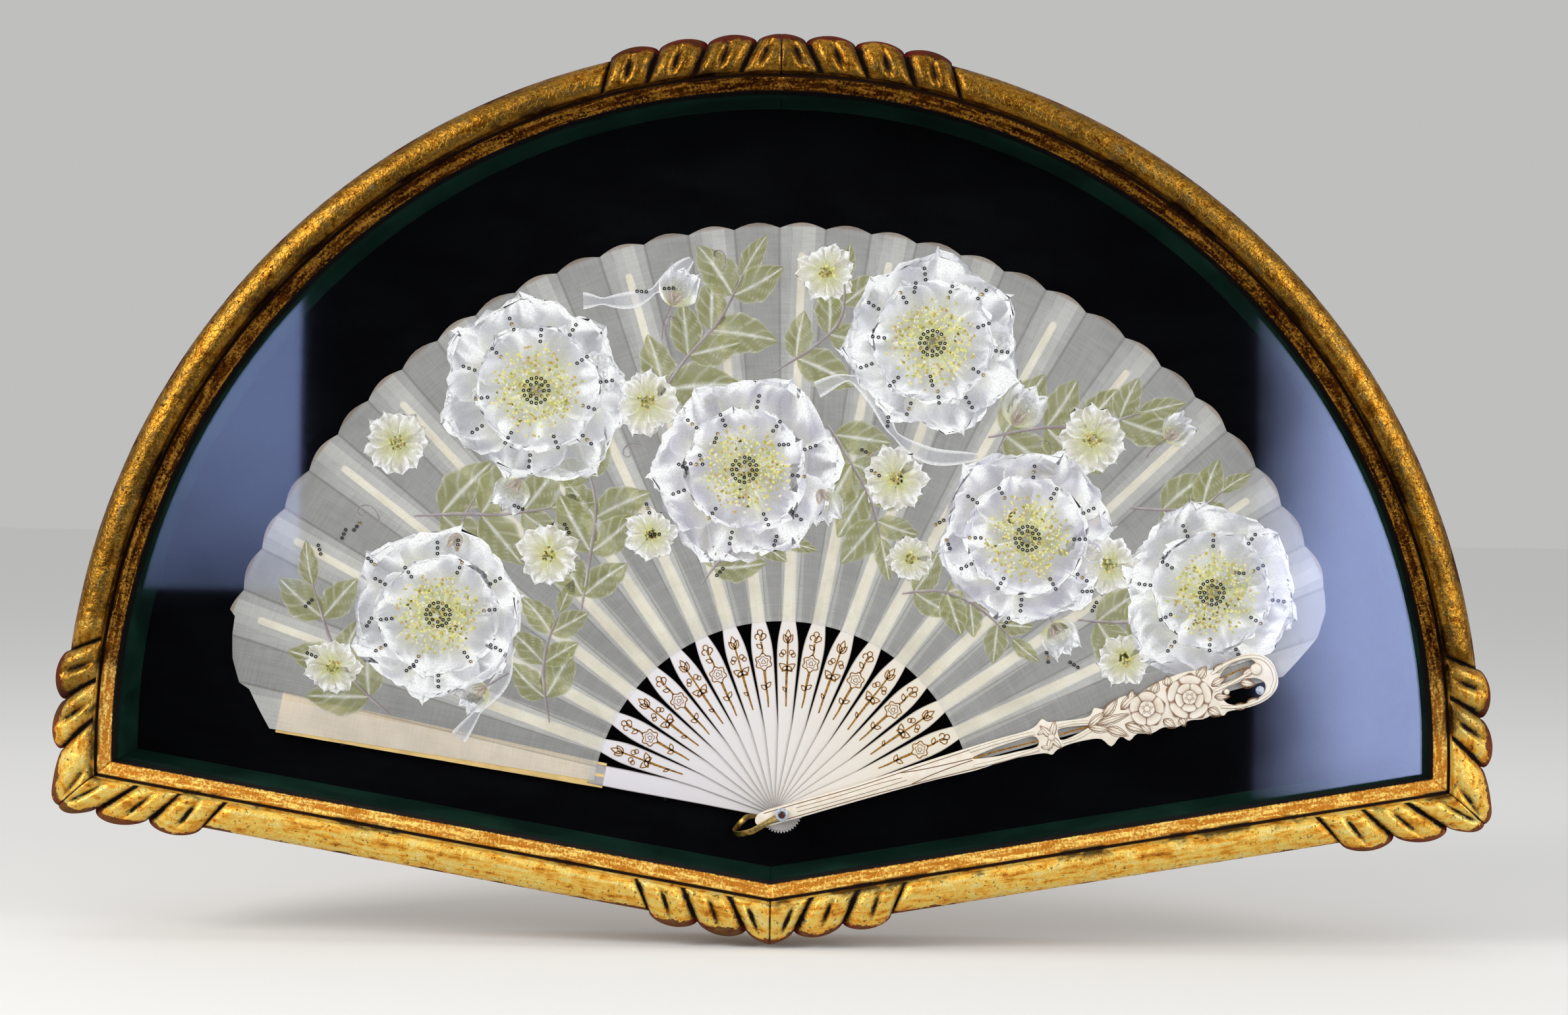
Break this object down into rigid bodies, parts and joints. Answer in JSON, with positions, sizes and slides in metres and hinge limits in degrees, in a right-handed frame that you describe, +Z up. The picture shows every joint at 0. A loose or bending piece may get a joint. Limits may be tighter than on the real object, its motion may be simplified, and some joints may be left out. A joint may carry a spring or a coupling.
{
  "type": "framed folding fan",
  "caption": "Open folding fan of slim sticks with a pleated gauze leaf, held in an arched, glazed gilt shadow-box frame with hangers on its back.",
  "frame": {"origin": "midway between the two D-ring hangers, in the plane of the rear edges of the case, which is the wall", "axes": "+X to the viewer's right, +Y into the wall, +Z up; the glazed front faces -Y"},
  "size_m": [0.7462, 0.0643, 0.4713],
  "materials": {
    "gilt_wood": "gesso and gold leaf over red clay, worn, semi-gloss",
    "green_velvet": "deep green velvet",
    "pine": "bare softwood",
    "glass": "clear float glass",
    "black_velvet": "black velvet over board",
    "plywood": "thin plywood",
    "steel_screw": "plain steel",
    "hanger_brass": "brassed steel",
    "bone": "polished bone, some sticks with a gilt line motif",
    "carved_bone": "polished bone, carved",
    "pearl": "mother-of-pearl",
    "fan_brass": "polished brass",
    "gauze": "sheer gauze, painted and spangled",
    "black_pin": "black lacquer"
  },
  "bodies": {
    "case": {"moulding_lower_arch_left": "gilt_wood", "moulding_lower_arch_right": "gilt_wood", "moulding_upper_arch_left": "gilt_wood", "moulding_upper_arch_right": "gilt_wood", "moulding_bottom_rail_left": "gilt_wood", "moulding_bottom_rail_right": "gilt_wood", "velvet_liner_arch_left": "green_velvet", "velvet_liner_arch_right": "green_velvet", "velvet_liner_bottom_left": "green_velvet", "velvet_liner_bottom_right": "green_velvet", "case_wall_arch_left": "pine", "case_wall_arch_right": "pine", "case_wall_bottom_left": "pine", "case_wall_bottom_right": "pine", "glass_pane": "glass", "mount_board": "black_velvet", "back_panel": "plywood", "panel_screw_1": "steel_screw", "panel_screw_2": "steel_screw", "panel_screw_3": "steel_screw", "panel_screw_4": "steel_screw", "panel_screw_5": "steel_screw", "panel_screw_6": "steel_screw", "hanger_screw_left": "steel_screw", "hanger_screw_right": "steel_screw", "support_pin_1": "black_pin", "support_pin_2": "black_pin", "support_pin_3": "black_pin", "hanger_plate_left": "hanger_brass", "hanger_plate_right": "hanger_brass", "rear_guard": "bone", "rivet_pin": "fan_brass", "front_washer": "pearl", "rear_washer": "pearl"},
    "stick_01_body": {"stick_01": "bone", "leaf": "gauze"},
    "stick_02_body": {"stick_02": "bone"},
    "stick_03_body": {"stick_03": "bone"},
    "stick_04_body": {"stick_04": "bone"},
    "stick_05_body": {"stick_05": "bone"},
    "stick_06_body": {"stick_06": "bone"},
    "stick_07_body": {"stick_07": "bone"},
    "stick_08_body": {"stick_08": "bone"},
    "stick_09_body": {"stick_09": "bone"},
    "stick_10_body": {"stick_10": "bone"},
    "stick_11_body": {"stick_11": "bone"},
    "stick_12_body": {"stick_12": "bone"},
    "stick_13_body": {"stick_13": "bone"},
    "stick_14_body": {"stick_14": "bone"},
    "stick_15_body": {"stick_15": "bone"},
    "stick_16_body": {"stick_16": "bone"},
    "front_guard_body": {"front_guard": "carved_bone", "guard_stud": "pearl"},
    "bail_ring_body": {"bail_ring": "fan_brass"},
    "hanger_ring_left_body": {"hanger_ring_left": "hanger_brass"},
    "hanger_ring_right_body": {"hanger_ring_right": "hanger_brass"}
  },
  "joints": [
    {"name": "fan_fold_01", "type": "hinge", "parent": "case", "child": "stick_01_body", "pos_m": [0.0054, -0.0179, -0.185], "axis": [0, -1, 0], "range_deg": [0, 9], "deforming": ["leaf"]},
    {"name": "fan_fold_02", "type": "hinge", "parent": "stick_01_body", "child": "stick_02_body", "pos_m": [0.0054, -0.0189, -0.185], "axis": [0, -1, 0], "range_deg": [0, 9]},
    {"name": "fan_fold_03", "type": "hinge", "parent": "stick_02_body", "child": "stick_03_body", "pos_m": [0.0054, -0.0199, -0.185], "axis": [0, -1, 0], "range_deg": [0, 9]},
    {"name": "fan_fold_04", "type": "hinge", "parent": "stick_03_body", "child": "stick_04_body", "pos_m": [0.0054, -0.0209, -0.185], "axis": [0, -1, 0], "range_deg": [0, 9]},
    {"name": "fan_fold_05", "type": "hinge", "parent": "stick_04_body", "child": "stick_05_body", "pos_m": [0.0054, -0.0219, -0.185], "axis": [0, -1, 0], "range_deg": [0, 9]},
    {"name": "fan_fold_06", "type": "hinge", "parent": "stick_05_body", "child": "stick_06_body", "pos_m": [0.0054, -0.0229, -0.185], "axis": [0, -1, 0], "range_deg": [0, 9]},
    {"name": "fan_fold_07", "type": "hinge", "parent": "stick_06_body", "child": "stick_07_body", "pos_m": [0.0054, -0.0239, -0.185], "axis": [0, -1, 0], "range_deg": [0, 9]},
    {"name": "fan_fold_08", "type": "hinge", "parent": "stick_07_body", "child": "stick_08_body", "pos_m": [0.0054, -0.0249, -0.185], "axis": [0, -1, 0], "range_deg": [0, 9]},
    {"name": "fan_fold_09", "type": "hinge", "parent": "stick_08_body", "child": "stick_09_body", "pos_m": [0.0054, -0.0259, -0.185], "axis": [0, -1, 0], "range_deg": [0, 9]},
    {"name": "fan_fold_10", "type": "hinge", "parent": "stick_09_body", "child": "stick_10_body", "pos_m": [0.0054, -0.0269, -0.185], "axis": [0, -1, 0], "range_deg": [0, 9]},
    {"name": "fan_fold_11", "type": "hinge", "parent": "stick_10_body", "child": "stick_11_body", "pos_m": [0.0054, -0.0279, -0.185], "axis": [0, -1, 0], "range_deg": [0, 9]},
    {"name": "fan_fold_12", "type": "hinge", "parent": "stick_11_body", "child": "stick_12_body", "pos_m": [0.0054, -0.0289, -0.185], "axis": [0, -1, 0], "range_deg": [0, 9]},
    {"name": "fan_fold_13", "type": "hinge", "parent": "stick_12_body", "child": "stick_13_body", "pos_m": [0.0054, -0.0299, -0.185], "axis": [0, -1, 0], "range_deg": [0, 9]},
    {"name": "fan_fold_14", "type": "hinge", "parent": "stick_13_body", "child": "stick_14_body", "pos_m": [0.0054, -0.0309, -0.185], "axis": [0, -1, 0], "range_deg": [0, 9]},
    {"name": "fan_fold_15", "type": "hinge", "parent": "stick_14_body", "child": "stick_15_body", "pos_m": [0.0054, -0.0319, -0.185], "axis": [0, -1, 0], "range_deg": [0, 9]},
    {"name": "fan_fold_16", "type": "hinge", "parent": "stick_15_body", "child": "stick_16_body", "pos_m": [0.0054, -0.0329, -0.185], "axis": [0, -1, 0], "range_deg": [0, 9]},
    {"name": "fan_fold_17", "type": "hinge", "parent": "stick_16_body", "child": "front_guard_body", "pos_m": [0.0054, -0.0339, -0.185], "axis": [0, -1, 0], "range_deg": [0, 9]},
    {"name": "bail_swing", "type": "hinge", "parent": "case", "child": "bail_ring_body", "pos_m": [0.0054, -0.02555, -0.185], "axis": [0, -1, 0], "range_deg": [-5, 145]},
    {"name": "hanger_ring_swing_left", "type": "hinge", "parent": "case", "child": "hanger_ring_left_body", "pos_m": [-0.2, -0.0036, 0], "axis": [1, 0, 0], "range_deg": [0, 165]},
    {"name": "hanger_ring_swing_right", "type": "hinge", "parent": "case", "child": "hanger_ring_right_body", "pos_m": [0.2, -0.0036, 0], "axis": [1, 0, 0], "range_deg": [0, 165]}
  ],
  "couplings": [
    {"joint": "fan_fold_02", "follows": "fan_fold_01", "ratio": 1},
    {"joint": "fan_fold_03", "follows": "fan_fold_01", "ratio": 1},
    {"joint": "fan_fold_04", "follows": "fan_fold_01", "ratio": 1},
    {"joint": "fan_fold_05", "follows": "fan_fold_01", "ratio": 1},
    {"joint": "fan_fold_06", "follows": "fan_fold_01", "ratio": 1},
    {"joint": "fan_fold_07", "follows": "fan_fold_01", "ratio": 1},
    {"joint": "fan_fold_08", "follows": "fan_fold_01", "ratio": 1},
    {"joint": "fan_fold_09", "follows": "fan_fold_01", "ratio": 1},
    {"joint": "fan_fold_10", "follows": "fan_fold_01", "ratio": 1},
    {"joint": "fan_fold_11", "follows": "fan_fold_01", "ratio": 1},
    {"joint": "fan_fold_12", "follows": "fan_fold_01", "ratio": 1},
    {"joint": "fan_fold_13", "follows": "fan_fold_01", "ratio": 1},
    {"joint": "fan_fold_14", "follows": "fan_fold_01", "ratio": 1},
    {"joint": "fan_fold_15", "follows": "fan_fold_01", "ratio": 1},
    {"joint": "fan_fold_16", "follows": "fan_fold_01", "ratio": 1},
    {"joint": "fan_fold_17", "follows": "fan_fold_01", "ratio": 1}
  ]
}
